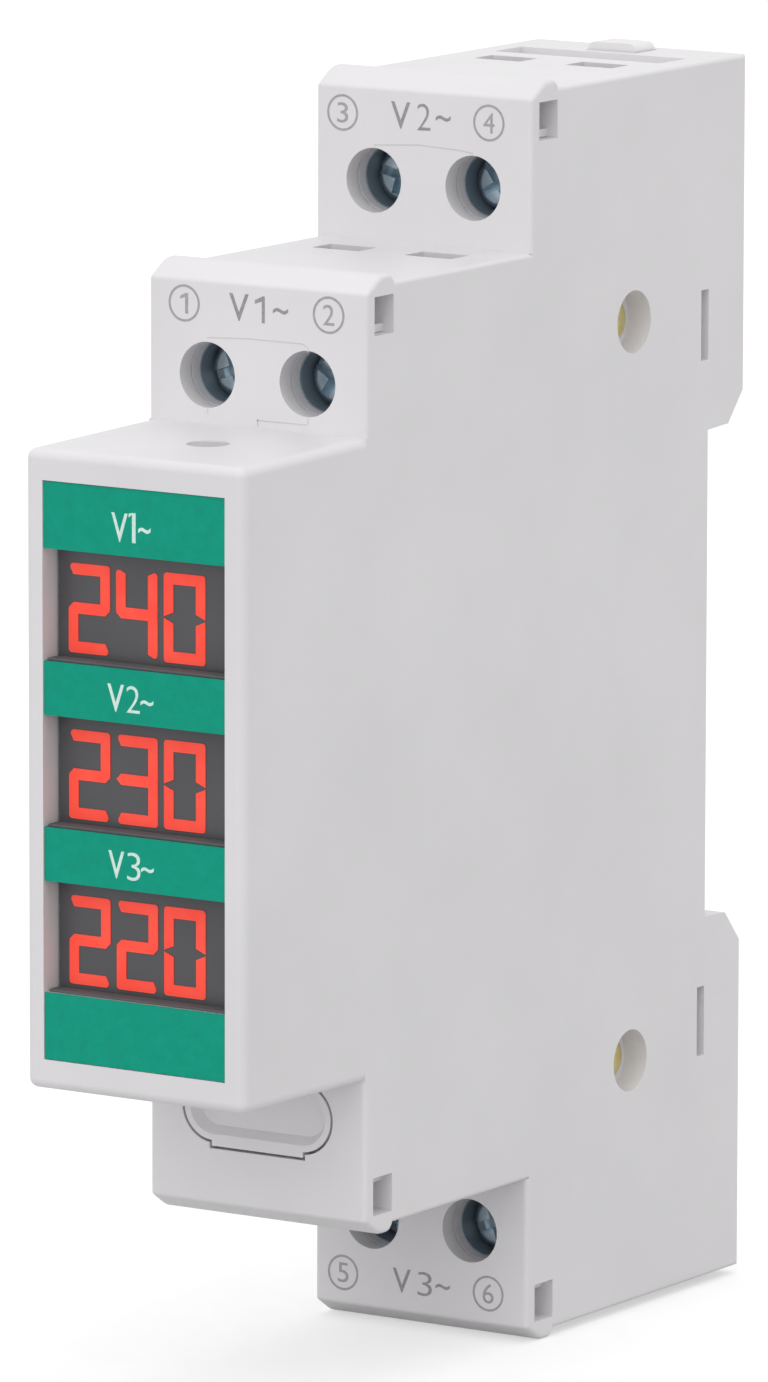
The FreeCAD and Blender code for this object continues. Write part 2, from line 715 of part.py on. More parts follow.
def bezel_outline():
    back = NOSE_Y + BEZEL_DEPTH
    return [
        (NOSE_Y, NOSE_HALF - NOSE_DRAFT),
        (back, nose_half_at(back)),
        (back, -nose_half_at(back)),
        (NOSE_Y, -NOSE_HALF + NOSE_DRAFT),
    ]


def front_bezel():
    """The frame round the three displays, with its two snap tongues."""
    back = NOSE_Y + BEZEL_DEPTH
    solid = side_prism(bezel_outline(), -HALF, HALF)
    edges = [edge for edge in solid.Edges if edge.BoundBox.YMin < back - FIT]
    solid = solid.makeFillet(BEZEL_ROUND, edges)
    half = OPENING_WIDTH / 2
    cuts = [block(-half, half, NOSE_Y, NOSE_Y + LABEL_INSET + LABEL_THICKNESS, -OPENING_HALF, OPENING_HALF)]
    window = DISPLAY_PITCH + DISPLAY_HEIGHT / 2
    cuts.append(block(-half, half, NOSE_Y, back, -window, window))
    for cut in cuts:
        solid = solid.cut(cut)
    tongues = [snap_tongue(back), flip(snap_tongue(back), -1)]
    return fuse([solid] + tongues)


def crossbar(upper, lower):
    """The black bar between two displays, which carries the label strip over it."""
    low = display_places()[lower] + DISPLAY_HEIGHT / 2
    high = display_places()[upper] - DISPLAY_HEIGHT / 2
    half = OPENING_WIDTH / 2
    front = NOSE_Y + LABEL_INSET + LABEL_THICKNESS
    return block(-half, half, front, NOSE_Y + BEZEL_DEPTH, low, high)


def snap_tongue(back):
    """A tongue that slides in under the roof of the nose and holds by friction."""
    top = NOSE_INSIDE - FIT
    half = HALF - TONGUE_FROM_SIDE
    return block(-half, half, back, back + TONGUE_LENGTH, top - TONGUE_THICKNESS, top)


def label(band):
    low, high = bands()[band]
    half = OPENING_WIDTH / 2 - FIT
    front = NOSE_Y + LABEL_INSET
    low_gap = FIT if band == "blank" else 0
    high_gap = FIT if band == "v1" else 0
    return block(-half, half, front, front + LABEL_THICKNESS, low + low_gap, high - high_gap)


def display(name):
    """A three-digit display module, standing on the display board."""
    z = display_places()[name]
    half_width = OPENING_WIDTH / 2 - DISPLAY_GAP
    half_height = DISPLAY_HEIGHT / 2 - DISPLAY_GAP
    return block(-half_width, half_width, DISPLAY_FACE_Y, DISPLAY_BACK_Y, z - half_height, z + half_height)


def upright(outer, inner, tip, middle, turn):
    """The outline of a vertical segment, from the corner at its tip to the middle of the figure."""
    return [
        (outer, tip),
        (outer, middle + turn * MIDDLE_BREAK),
        (inner, middle + turn * DIGIT_STROKE / 2),
        (inner, tip - turn * DIGIT_STROKE / 2),
    ]


def segments(x, z):
    """The outlines of the seven segments of a figure that is centred on x and z."""
    bar = DIGIT_STROKE
    half = bar / 2
    left = x - DIGIT_WIDTH / 2
    right = x + DIGIT_WIDTH / 2
    top = z + DIGIT_HEIGHT / 2
    low = z - DIGIT_HEIGHT / 2
    middle = [
        (left, z),
        (left + half, z + half),
        (right - half, z + half),
        (right, z),
        (right - half, z - half),
        (left + half, z - half),
    ]
    return {
        "a": [(left, top), (right, top), (right - half, top - bar), (left + half, top - bar)],
        "b": upright(right, right - bar, top, z, 1),
        "c": upright(right, right - bar, low, z, -1),
        "d": [(left, low), (right, low), (right - half, low + bar), (left + half, low + bar)],
        "e": upright(left, left + bar, low, z, -1),
        "f": upright(left, left + bar, top, z, 1),
        "g": middle,
    }


LIT = {
    "0": "abcdef",
    "2": "abdeg",
    "3": "abcdg",
    "4": "bcfg",
}


def digit(figure, x, z):
    """The lit segments of one figure, run together and rounded at the outer corners."""
    outlines = segments(x, z)
    front = DISPLAY_FACE_Y - DIGIT_RELIEF
    solid = fuse([front_prism(outlines[name], front, DISPLAY_FACE_Y) for name in LIT[figure]])
    corners = []
    for edge in solid.Edges:
        box = edge.BoundBox
        at_side = same(abs(box.XMin - x), DIGIT_WIDTH / 2) and same(box.XMin, box.XMax)
        at_end = same(abs(box.ZMin - z), DIGIT_HEIGHT / 2) and same(box.ZMin, box.ZMax)
        if at_side and at_end:
            corners.append(edge)
    return solid.makeFillet(DIGIT_ROUND, corners)


def digits(name):
    """The three lit figures of one display."""
    z = display_places()[name] + DIGITS_Z
    figures = []
    for place, figure in enumerate(READINGS[name]):
        figures.append(digit(figure, DIGITS_X + (place - 1) * DIGIT_PITCH, z))
    return Part.makeCompound(figures)


# Terminals

def screw(number):
    """A clamp screw: round head with a cross and a slot, and a plain shank in place of its thread."""
    tier, x = TERMINALS[number]
    face, step, half, side = TIERS[tier]
    z = half - SCREW_FROM_TOP
    front = face + SCREW_INSET
    seat = face + WELL_END - FIT
    head = rod_y(x, z, HOLE_RADIUS - HEAD_CLEARANCE, front, seat)
    rim = [edge for edge in head.Edges if edge.BoundBox.YMax < front + FIT]
    head = head.makeFillet(HEAD_ROUND, rim)
    shank = rod_y(x, z, SHANK_RADIUS, seat, face + BAR_INSET - FIT)
    wide = DRIVE_WIDTH / 2
    long = DRIVE_LENGTH / 2
    cuts = [
        block(x - wide, x + wide, front, front + DRIVE_DEPTH, z - long, z + long),
        block(x - long, x + long, front, front + DRIVE_DEPTH, z - wide, z + wide),
        block(x - HOLE_RADIUS, x + HOLE_RADIUS, front, front + SLOT_DEPTH, z - wide, z + wide),
    ]
    solid = fuse([head, shank])
    for cut in cuts:
        solid = solid.cut(cut)
    solid.rotate(Vector(x, front, z), Vector(0, 1, 0), DRIVE_ANGLES[number])
    return flip(solid, side)


def guard(number):
    """The black ring behind the collar, which keeps the screw from falling out."""
    tier, x = TERMINALS[number]
    face, step, half, side = TIERS[tier]
    z = half - SCREW_FROM_TOP
    start = face + COLLAR_END
    end = face + WELL_END
    ring = rod_y(x, z, GUARD_RADIUS, start, end)
    return flip(ring.cut(rod_y(x, z, HOLE_RADIUS - GUARD_LIP, start, end)), side)


def cage(number):
    """The clamp cage: a square ring that the screw draws forwards against the wire."""
    tier, x = TERMINALS[number]
    face, step, half, side = TIERS[tier]
    z = half - SCREW_FROM_TOP
    half_width = CAGE_WIDTH / 2
    half_height = CAGE_HEIGHT / 2
    inside = half_width - CAGE_WALL
    front = face + CAGE_FRONT
    back = face + CAGE_REAR
    solid = block(x - half_width, x + half_width, front, back, z - half_height, z + half_height)
    corners = [edge for edge in solid.Edges if same(edge.BoundBox.ZLength, CAGE_HEIGHT)]
    solid = solid.makeFillet(CAGE_WALL, corners)
    opening = block(x - inside, x + inside, front + CAGE_NUT, back - CAGE_BACK,
                    z - half_height, z + half_height)
    thread = rod_y(x, z, SHANK_RADIUS + THREAD_CLEARANCE, front, front + CAGE_NUT)
    return flip(solid.cut(opening).cut(thread), side)


def contact(number):
    """The current bar inside the cage, with a finger that reaches the main board."""
    tier, x = TERMINALS[number]
    face, step, half, side = TIERS[tier]
    z = half - SCREW_FROM_TOP
    y0 = face + BAR_INSET
    y1 = y0 + BAR_THICKNESS
    low = z - BAR_BELOW
    strip = block(x - BAR_WIDTH / 2, x + BAR_WIDTH / 2, y0, y1, low, z + BAR_ABOVE)
    inner = abs(x) - BAR_WIDTH / 2
    if x > 0:
        finger = block(BOARD / 2, inner, y0, y1, low, low + BAR_FINGER)
    else:
        finger = block(-inner, -BOARD / 2, y0, y1, low, low + BAR_FINGER)
    return flip(fuse([strip, finger]), side)


# Boards and their parts

def display_board():
    half_width = HALF - WALL - 4 * FIT
    half_height = NOSE_INSIDE - 4 * FIT
    return block(-half_width, half_width, DISPLAY_BACK_Y, DISPLAY_BOARD_BACK_Y, -half_height, half_height)


def main_board():
    """The board on edge at mid-width, with a tongue up and down to the rear terminals."""
    front = DISPLAY_BOARD_BACK_Y + BOARD_FRONT
    back = -WALL - BOARD_REAR
    tongue = back - BOARD_TONGUE_LENGTH
    upper = [(front, BOARD_TOP), (tongue, BOARD_TOP), (tongue, BOARD_TONGUE), (back, BOARD_TONGUE)]
    lower = [(y, -z) for y, z in reversed(upper)]
    solid = side_prism(upper + lower, -BOARD / 2, BOARD / 2)
    for side in (1, -1):
        solid = solid.cut(rod_x(RIVET_Y, RIVET_Z * side, BOSS_RADIUS + BOSS_HOLE, -HALF, HALF))
    return solid


def board_header():
    """The socket strip that joins the two boards."""
    start = DISPLAY_BOARD_BACK_Y
    return block(BOARD / 2, BOARD / 2 + HEADER_WIDTH, start, start + HEADER_LENGTH,
                 -HEADER_HALF_HEIGHT, HEADER_HALF_HEIGHT)


def capacitor():
    """The electrolytic capacitor, lying on the right face of the main board."""
    x = BOARD / 2 + CAPACITOR_RADIUS
    base = Vector(x, CAPACITOR_Y, -CAPACITOR_LENGTH / 2)
    return Part.makeCylinder(CAPACITOR_RADIUS, CAPACITOR_LENGTH, base)


def film_capacitor():
    """The mains dropper, a box on the left face of the main board."""
    y = FILM_Y - FILM_LENGTH / 2
    return block(-BOARD / 2 - FILM_WIDTH, -BOARD / 2, y, y + FILM_LENGTH, -FILM_HEIGHT / 2, FILM_HEIGHT / 2)


def controller():
    y = CHIP_Y - CHIP_WIDTH / 2
    return block(BOARD / 2, BOARD / 2 + CHIP_THICKNESS, y, y + CHIP_WIDTH, -CHIP_LENGTH / 2, CHIP_LENGTH / 2)


def resistors():
    """The divider resistors, one for each phase, on the left face of the main board."""
    x = -BOARD / 2 - RESISTOR_RADIUS
    y = RESISTOR_Y - RESISTOR_LENGTH / 2
    rods = []
    for place in range(RESISTOR_COUNT):
        z = (place - (RESISTOR_COUNT - 1) / 2) * RESISTOR_PITCH
        rods.append(rod_y(x, z, RESISTOR_RADIUS, y, y + RESISTOR_LENGTH))
    return Part.makeCompound(rods)


# Fasteners, rail clip and spring

def rivet(side):
    """A brass rivet right through the case, with a low round head in each recess."""
    z = RIVET_Z * side
    seat = HALF - RECESS_DEPTH
    parts = [rod_x(RIVET_Y, z, RIVET_RADIUS, -seat, seat)]
    for start in (-seat - RIVET_HEAD, seat):
        parts.append(rod_x(RIVET_Y, z, RIVET_HEAD_RADIUS, start, start + RIVET_HEAD))
    solid = fuse(parts)
    rims = []
    for edge in solid.Edges:
        box = edge.BoundBox
        if same(box.XMin, box.XMax) and same(abs(box.XMin), seat + RIVET_HEAD):
            rims.append(edge)
    return solid.makeFillet(RIVET_HEAD - FIT, rims)


def rail_clip():
    """The sliding clip: plate, stem with its pull tip, spring pocket and sloped tooth."""
    tooth = RAIL_HEIGHT / 2 - CLIP_TOOTH
    flat = CLIP_FRONT_Y + CLIP_TOOTH_FLAT
    side_view = [
        (CLIP_FRONT_Y, tooth),
        (flat, tooth),
        (CLIP_BACK_Y, tooth + CLIP_TOOTH_RAMP),
        (CLIP_BACK_Y, CLIP_TOP),
        (CLIP_FRONT_Y, CLIP_TOP),
    ]
    plate = side_prism(side_view, -CLIP_HALF_WIDTH, CLIP_HALF_WIDTH)
    stem = block(-CLIP_STEM_HALF, CLIP_STEM_HALF, CLIP_FRONT_Y, CLIP_BACK_Y, CLIP_TOP, TIP_Z)
    ends = [edge for edge in stem.Edges
            if same(edge.BoundBox.ZMin, TIP_Z) and same(edge.BoundBox.XMin, edge.BoundBox.XMax)]
    stem = stem.makeFillet(CLIP_TIP - FIT, ends)
    pocket = block(-SPRING_POCKET_HALF, SPRING_POCKET_HALF, CLIP_FRONT_Y, CLIP_BACK_Y,
                   SPRING_POCKET_BOTTOM, STOP_BOTTOM + STOP_HEIGHT + FIT)
    return fuse([plate, stem]).cut(pocket)


def clip_spring():
    """The compression spring between the clip's pocket floor and the stop above it."""
    height = SPRING_LENGTH - 2 * (SPRING_WIRE + FIT)
    pitch = height / SPRING_TURNS
    helix = Part.makeHelix(pitch, height, SPRING_RADIUS)
    section = Part.Wire(Part.makeCircle(SPRING_WIRE, Vector(SPRING_RADIUS, 0, 0), Vector(0, 1, 0)))
    coil = Part.Wire(helix).makePipeShell([section], True, True)
    y = (CLIP_FRONT_Y + CLIP_BACK_Y) / 2
    coil.translate(Vector(0, y, SPRING_POCKET_BOTTOM + SPRING_WIRE + FIT))
    return coil


def build_parts():
    parts = shells()
    parts["front_bezel"] = front_bezel()
    parts["crossbar_upper"] = crossbar("v1", "v2")
    parts["crossbar_lower"] = crossbar("v2", "v3")
    parts["blanking_plug"] = blanking_plug()
    for tier in TIERS:
        parts["cap_" + tier] = cap(tier)
        parts["label_" + tier] = label(tier)
    for name in READINGS:
        parts["display_" + name] = display(name)
        parts["digits_" + name] = digits(name)
    for number in TERMINALS:
        parts["screw_" + number] = screw(number)
        parts["guard_" + number] = guard(number)
        parts["cage_" + number] = cage(number)
        parts["contact_" + number] = contact(number)
    parts["display_board"] = display_board()
    parts["main_board"] = main_board()
    parts["board_header"] = board_header()
    parts["capacitor"] = capacitor()
    parts["film_capacitor"] = film_capacitor()
    parts["controller"] = controller()
    parts["resistors"] = resistors()
    parts["rivet_upper"] = rivet(1)
    parts["rivet_lower"] = rivet(-1)
    parts["rail_clip"] = rail_clip()
    parts["clip_spring"] = clip_spring()
    return parts


os.makedirs("parts", exist_ok=True)
for node, shape in build_parts().items():
    shape.exportStep("parts/" + node + ".step")
    print(node, len(shape.Solids), shape.isValid(), round(shape.Volume, 2))
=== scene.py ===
import json
import math

import bmesh
import bpy
from mathutils import Matrix, Vector


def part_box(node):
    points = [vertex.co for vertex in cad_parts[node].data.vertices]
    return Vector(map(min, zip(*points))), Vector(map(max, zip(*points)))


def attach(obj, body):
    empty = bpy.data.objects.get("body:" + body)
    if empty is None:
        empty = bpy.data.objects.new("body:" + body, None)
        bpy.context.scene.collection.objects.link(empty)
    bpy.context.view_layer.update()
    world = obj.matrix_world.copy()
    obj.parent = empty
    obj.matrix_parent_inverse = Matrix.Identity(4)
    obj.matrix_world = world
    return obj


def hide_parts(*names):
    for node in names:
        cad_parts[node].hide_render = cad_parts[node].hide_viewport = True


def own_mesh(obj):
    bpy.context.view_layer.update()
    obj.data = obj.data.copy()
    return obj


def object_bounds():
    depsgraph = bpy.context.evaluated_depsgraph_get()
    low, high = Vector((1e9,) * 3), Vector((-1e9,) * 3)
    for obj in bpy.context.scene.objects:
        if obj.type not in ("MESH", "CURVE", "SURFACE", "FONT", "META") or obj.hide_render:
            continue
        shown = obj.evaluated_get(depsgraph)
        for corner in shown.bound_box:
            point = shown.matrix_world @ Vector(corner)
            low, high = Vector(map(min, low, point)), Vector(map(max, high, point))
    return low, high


# The finished look of a one-module voltmeter: its materials, the print on it, a studio and a camera.
# Metres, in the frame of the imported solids: X is the width, +Y points to the rail, +Z is up.

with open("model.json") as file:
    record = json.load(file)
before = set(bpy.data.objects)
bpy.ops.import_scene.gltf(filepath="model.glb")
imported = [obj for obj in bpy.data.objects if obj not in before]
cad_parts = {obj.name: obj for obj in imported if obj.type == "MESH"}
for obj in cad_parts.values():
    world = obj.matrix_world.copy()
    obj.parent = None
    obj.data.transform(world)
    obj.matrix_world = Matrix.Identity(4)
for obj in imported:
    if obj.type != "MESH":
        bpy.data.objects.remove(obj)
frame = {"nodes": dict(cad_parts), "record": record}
cad_low, cad_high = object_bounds()
nodes = frame["nodes"]

MM = 0.001
QUARTER_TURN = math.radians(90)
FULL_TURN = 2 * math.pi

# Faces that carry print, read from the solids
NOSE_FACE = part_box("label_v1")[0].y
FRONT_TIER_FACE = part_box("cap_v1")[0].y
REAR_TIER_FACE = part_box("cap_v2")[0].y

# A coat of ink: its thickness, how deep its back lies in the plastic, and how close two points count as one
INK = 0.015 * MM
INK_SINK = 0.005 * MM
INK_MERGE = INK / 100

# The circle round a terminal's number
RING_RADIUS = 1.3 * MM
RING_STROKE = 0.17 * MM
RING_SIDES = 72

# The width of the darker hairlines on the caps, which are painted shade
HAIRLINE = 0.09 * MM

# The figure 1 in a unit square: how far its top is cut over the stem, and, for a flag that does not hang down,
# the heights of the flag's lower tip and of the place where its underside meets the stem
ONE_CUT = 0.08
ONE_TIP = 0.87
ONE_ROOT = 0.97

# Half the size of a terminal's number in millimetres; its figure 1 is narrower
NUMBER_HALF_TALL = 0.72
NUMBER_HALF_WIDE = 0.46
NUMBER_ONE_HALF_WIDE = 0.33

# How much bolder than the plain face the letter, the figure and the wave of a mark are drawn
CASE_WEIGHTS = (0.005, -0.01, 0.01)
LABEL_WEIGHTS = (0.008, -0.01, 0.018)

# The strip under each display
DISPLAY_GAP = 0.2 * MM
STRIP_FRONT = 0.3 * MM
STRIP_TUCK = 0.4 * MM
STRIP_PLAY = 0.02 * MM
STRIP_ROUND = 0.08 * MM
STRIP_ROUND_STEPS = 3

# The slivers under the rear caps, which fill the rounded edge of the tier below
FOOT_SIZE = 0.3 * MM
FOOT_START = 0.2 * MM
FOOT_ROUND_STEPS = 6

# The dimple in the top of the nose, a disc painted darker as shade: its centre on the face, its size, its rim,
# and how deep it is dished
DIMPLE_PLACE = (0.85 * MM, -52.1 * MM, 22.3 * MM)
DIMPLE_RADIUS = 1.45 * MM
DIMPLE_THICKNESS = 0.25 * MM
DIMPLE_RIM = DIMPLE_RADIUS / 3
DIMPLE_DISH = 0.05 * MM
DIMPLE_SIDES = 48

# The clip's spring: the radius of its wire, its turns, the steps of each turn, and the sides of the wire
SPRING_WIRE = 0.15 * MM
SPRING_TURNS = 5
SPRING_TURN_STEPS = 24
WIRE_SIDES = 12

# Studio: the floor's reach in metres, the sky, then for each lamp its strength and where it stands
FLOOR_REACH = 4.0
FLOOR_LIFT = 0.5
SKY_LIGHT = 0.975
LAMPS = {
    "top_light": (0.42, Vector((0.15, -0.25, 0.95))),
    "front_light": (0.465, Vector((0.2, -0.95, 0.22))),
}
LAMP_SPREAD = math.radians(50)

# A mottle mostly stays between these two values, so a colour that runs between two shades reaches both
MOTTLE_LOW = 0.3
MOTTLE_HIGH = 0.7


# What the materials are made with

def linear(code):
    """An sRGB hex colour as the linear values that the shaders take."""
    channels = [int(code[start:start + 2], 16) / 255 for start in (0, 2, 4)]
    return tuple(c / 12.92 if c <= 0.04045 else ((c + 0.055) / 1.055) ** 2.4 for c in channels) + (1.0,)


def per_mm(size):
    """The texture scale at which one feature is about this many millimetres long."""
    return 1 / (size * MM)


def add(tree, kind, sockets=None, **settings):
    """One node with its settings; each socket gets a value, or a link from another node's output."""
    node = tree.nodes.new(kind)
    for name, value in settings.items():
        setattr(node, name, value)
    for name, value in (sockets or {}).items():
        if isinstance(value, bpy.types.NodeSocket):
            tree.links.new(value, node.inputs[name])
        else:
            node.inputs[name].default_value = value
    return node


def new_material(name):
    """An empty material with its node tree and the piece's own coordinates."""
    material = bpy.data.materials.new(name)
    material.use_nodes = True
    tree = material.node_tree
    tree.nodes.clear()
    place = add(tree, "ShaderNodeTexCoord").outputs["Object"]
    return material, tree, place


def finished(material, sockets):
    """The material with its one shader, which takes these sockets, wired to the output."""
    tree = material.node_tree
    shader = add(tree, "ShaderNodeBsdfPrincipled", sockets)
    add(tree, "ShaderNodeOutputMaterial", {"Surface": shader.outputs["BSDF"]})
    return material


def mottle(tree, place, size, detail, roughness=0.5):
    """Soft patches of about this many millimetres, as values from 0 to 1."""
    patches = add(tree, "ShaderNodeTexNoise", {
        "Vector": place,
        "Scale": per_mm(size),
        "Detail": detail,
        "Roughness": roughness,
    })
    return patches.outputs["Fac"]


def bands(tree, place, size, axis, distortion=0.0):
    """Soft parallel bands across an axis, each about this many millimetres wide, as values from 0 to 1."""
    wave = add(tree, "ShaderNodeTexWave", {
        "Vector": place,
        "Scale": per_mm(size) / FULL_TURN,
        "Distortion": distortion,
    }, bands_direction=axis)
    return wave.outputs["Fac"]


def drawn_out(tree, place, streak):
    """Coordinates that stretch a pattern along each axis where streak is small."""
    return add(tree, "ShaderNodeMapping", {"Vector": place, "Scale": streak}).outputs["Vector"]


def spread(tree, pattern, low, high):
    """A pattern of 0 to 1, made to run from low to high."""
    return add(tree, "ShaderNodeMapRange", {"Value": pattern, "To Min": low, "To Max": high}).outputs["Result"]


def relief(tree, pattern, strength, depth):
    """A pattern pressed into the surface, this many millimetres deep at full strength."""
    bump = add(tree, "ShaderNodeBump", {"Height": pattern, "Strength": strength, "Distance": depth * MM})
    return bump.outputs["Normal"]


def combined(tree, operation, first, second):
    """Two values added or multiplied."""
    return add(tree, "ShaderNodeMath", {0: first, 1: second}, operation=operation).outputs["Value"]


def shades(tree, pattern, dark, light):
    """A colour that runs between two sRGB shades."""
    ramp = add(tree, "ShaderNodeValToRGB", {"Fac": pattern})
    ramp.color_ramp.elements[0].position = MOTTLE_LOW
    ramp.color_ramp.elements[0].color = linear(dark)
    ramp.color_ramp.elements[1].position = MOTTLE_HIGH
    ramp.color_ramp.elements[1].color = linear(light)
    return ramp.outputs["Color"]


# Materials

def moulded_plastic(name, dark, light, grain, roughness, strength, ior=1.58):
    """Injection-moulded plastic from a spark-eroded tool: satin, with a fine even grain in its gloss."""
    material, tree, place = new_material(name)
    flow = mottle(tree, place, size=14, detail=3.0, roughness=0.6)
    pits = mottle(tree, place, size=grain, detail=2.0)
    return finished(material, {
        "Base Color": shades(tree, flow, dark, light),
        "Roughness": spread(tree, pits, roughness - 0.06, roughness + 0.06),
        "Normal": relief(tree, pits, strength, depth=0.02),
        "IOR": ior,
    })


def printed_film():
    """Polyester film printed green: an even colour with a faint mottle, and matt varnish with little sheen."""
    material, tree, place = new_material("printed_polyester_film")
    ink = mottle(tree, place, size=0.9, detail=5.0, roughness=0.65)
    wave = mottle(tree, place, size=3.5, detail=1.0)
    return finished(material, {
        "Base Color": shades(tree, ink, "01927A", "049C82"),
        "Roughness": spread(tree, ink, 0.42, 0.56),
        "Normal": relief(tree, wave, 0.25, depth=0.03),
        "IOR": 1.6,
        "Specular IOR Level": 0.12,
    })


def smoked_acrylic():
    """The smoked acrylic face of a display, cast smooth: dark grey with a faint haze and fine dust."""
    material, tree, place = new_material("smoked_acrylic_face")
    haze = mottle(tree, place, size=5, detail=2.0)
    dust = mottle(tree, place, size=0.3, detail=2.0)
    return finished(material, {
        "Base Color": shades(tree, haze, "48474A", "4E4D50"),
        "Roughness": spread(tree, dust, 0.3, 0.44),
        "IOR": 1.49,
    })


def lit_segment():
    """An epoxy light bar with the diode on: an even red-orange glow, a little hotter in patches."""
    material, tree, place = new_material("lit_epoxy_light_bar")
    glow = shades(tree, mottle(tree, place, size=1.6, detail=1.0), "FF422E", "FF4E3A")
    return finished(material, {
        "Base Color": glow,
        "Roughness": 0.5,
        "IOR": 1.55,
        "Emission Color": glow,
        "Emission Strength": 0.14,
    })


def plated_steel(name, dark, light, roughness, streak):
    """Zinc-plated or bright steel: a grey sheen with faint clouds, and fine tool marks drawn out by streak."""
    material, tree, place = new_material(name)
    cloud = mottle(tree, place, size=1.2, detail=4.0)
    marks = mottle(tree, drawn_out(tree, place, streak), size=0.25, detail=3.0)
    return finished(material, {
        "Base Color": shades(tree, cloud, dark, light),
        "Metallic": 1.0,
        "Roughness": spread(tree, cloud, roughness - 0.08, roughness + 0.08),
        "Normal": relief(tree, marks, 0.4, depth=0.02),
    })


def rolled_brass(name, dark, light, roughness, streak):
    """Brass, rolled or headed cold: warm yellow, a little tarnished in patches, with fine lines along it."""
    material, tree, place = new_material(name)
    tarnish = mottle(tree, place, size=1.5, detail=4.0, roughness=0.6)
    lines = mottle(tree, drawn_out(tree, place, streak), size=0.15, detail=2.0)
    return finished(material, {
        "Base Color": shades(tree, tarnish, dark, light),
        "Metallic": 1.0,
        "Roughness": spread(tree, tarnish, roughness - 0.07, roughness + 0.09),
        "Normal": relief(tree, lines, 0.3, depth=0.01),
    })


def circuit_laminate():
    """Glass-epoxy laminate under green solder mask: the woven glass shows through as a fine square grid."""
    material, tree, place = new_material("glass_epoxy_laminate")
    warp = bands(tree, place, 0.6, "Y")
    weft = bands(tree, place, 0.6, "Z")
    weave = combined(tree, "MULTIPLY", warp, weft)
    return finished(material, {
        "Base Color": shades(tree, weave, "0B4A22", "13602D"),
        "Roughness": spread(tree, weave, 0.28, 0.38),
        "Normal": relief(tree, weave, 0.3, depth=0.02),
        "IOR": 1.55,
    })


def shrink_sleeve():
    """PVC sleeve shrunk on to the capacitor: dark blue and glossy, with faint rings where it gripped."""
    material, tree, place = new_material("shrunk_pvc_sleeve")
    rings = bands(tree, place, 1.8, "Z", distortion=2.0)
    return finished(material, {
        "Base Color": shades(tree, rings, "141A33", "1B2342"),
        "Roughness": spread(tree, rings, 0.2, 0.3),
        "Normal": relief(tree, rings, 0.2, depth=0.05),
        "IOR": 1.53,
    })


def dipped_lacquer():
    """Lacquer dipped over a ceramic rod: pale blue with slow runs, and a wet-looking gloss."""
    material, tree, place = new_material("dipped_lacquer")
    runs = mottle(tree, place, size=1.4, detail=2.0)
    return finished(material, {
        "Base Color": shades(tree, runs, "8DB0C4", "9CBED0"),
        "Roughness": spread(tree, runs, 0.2, 0.32),
        "Normal": relief(tree, runs, 0.4, depth=0.05),
        "IOR": 1.5,
    })


def pad_printed_ink(name, thin, full, roughness):
    """Pad-printed ink: matt, and a little thinner here and there so that the ground shows through."""
    material, tree, place = new_material(name)
    cover = mottle(tree, place, size=0.35, detail=3.0)
    return finished(material, {
        "Base Color": shades(tree, cover, thin, full),
        "Roughness": spread(tree, cover, roughness - 0.08, roughness + 0.08),
        "IOR": 1.5,
    })


def painted_board():
    """A matt painted board: pale grey to the light, and lifted to white for the camera, shadow and all."""
    material, tree, place = new_material("matt_painted_board")
    stipple = mottle(tree, place, size=3, detail=2.0)
    path = add(tree, "ShaderNodeLightPath")
    seen = combined(tree, "ADD", path.outputs["Is Camera Ray"], path.outputs["Is Glossy Ray"])
    return finished(material, {
        "Base Color": shades(tree, stipple, "BBBBBB", "BFBFBF"),
        "Roughness": 0.95,
        "Emission Color": linear("FFFFFF"),
        "Emission Strength": combined(tree, "MULTIPLY", seen, FLOOR_LIFT),
    })


FINISHES = {
    # Pale grey and satin; the tool's grain of 0.05 mm is drawn at 0.22 mm, so that it shows in a whole view
    "case_plastic": moulded_plastic("moulded_polycarbonate", "DAD8DA", "DFDDDF", 0.22, 0.5, 0.25),
    # A shade whiter than the case, and a little more glossy
    "clip_plastic": moulded_plastic("moulded_acetal", "DEDCDC", "E3E1E1", 0.3, 0.42, 0.2, ior=1.48),
    "label_green": printed_film(),
    "display_face": smoked_acrylic(),
    "lit_red": lit_segment(),
    # Cool blue-grey, with an even sheen
    "screw_steel": plated_steel("blue_zinc_plated_steel", "9DB0BC", "C4D3DC", 0.32, (1, 1, 1)),
    # Plain grey, with press marks from front to back
    "cage_steel": plated_steel("zinc_plated_pressed_steel", "9BA1A5", "B5BABD", 0.36, (1, 0.15, 1)),
    # Bright bare wire, smooth from the drawing die
    "spring_steel": plated_steel("bright_drawn_spring_wire", "A4A6A8", "BFC1C2", 0.25, (1, 1, 0.2)),
    # Warm yellow, with rolling lines up the strip
    "contact_brass": rolled_brass("rolled_brass_strip", "B9985A", "CDAE6C", 0.3, (1, 1, 0.08)),
    # Paler than the strip, with lines along the rivet
    "rivet_brass": rolled_brass("headed_brass_rivet", "CDBF80", "E6DBA2", 0.3, (0.3, 1, 1)),
    "board_laminate": circuit_laminate(),
    # Nearly black and matt, with a rougher grain from the glass
    "black_plastic": moulded_plastic("glass_filled_nylon", "2B2C2F", "353639", 0.2, 0.55, 0.4, ior=1.53),
    "capacitor_sleeve": shrink_sleeve(),
    # Mustard yellow, with a soft gloss
    "film_case": moulded_plastic("moulded_polyester_box", "C7A53A", "D0AE44", 0.25, 0.4, 0.2),
    "resistor_body": dipped_lacquer(),
}

# The rings round the screw heads: slate blue as painted shade of the gap round each head, paler and smoother
# than the nylon inside
GUARD_PAINTED_SHADE = moulded_plastic("slate_nylon_painted_shade", "6C7A86", "788692", 0.2, 0.4, 0.4, ior=1.53)

